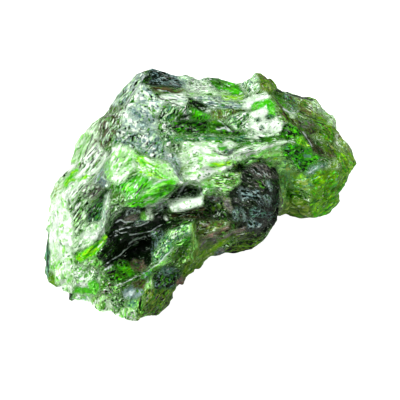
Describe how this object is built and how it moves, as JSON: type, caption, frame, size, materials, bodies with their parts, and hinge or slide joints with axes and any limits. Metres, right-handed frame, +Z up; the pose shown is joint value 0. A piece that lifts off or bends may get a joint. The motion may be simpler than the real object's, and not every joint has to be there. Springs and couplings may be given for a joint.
{
  "type": "rough chrome diopside crystal",
  "caption": "Irregular cleaved fragment of a green gem crystal, with stepped ledges along its grain, a deep broken hollow, a rounded lobe and a flat cleavage underside to lie on.",
  "frame": {"origin": "middle of the footprint, on the plane of the resting face", "axes": "+X along the longest side, to the right in the picture, +Y away from the viewer, +Z up from the resting face"},
  "size_m": [0.0254, 0.0198, 0.0115],
  "materials": {
    "crystal": "glassy broken crystal, frosted along the fractures"
  },
  "bodies": {
    "root": {"diopside_crystal": "crystal"}
  },
  "joints": []
}
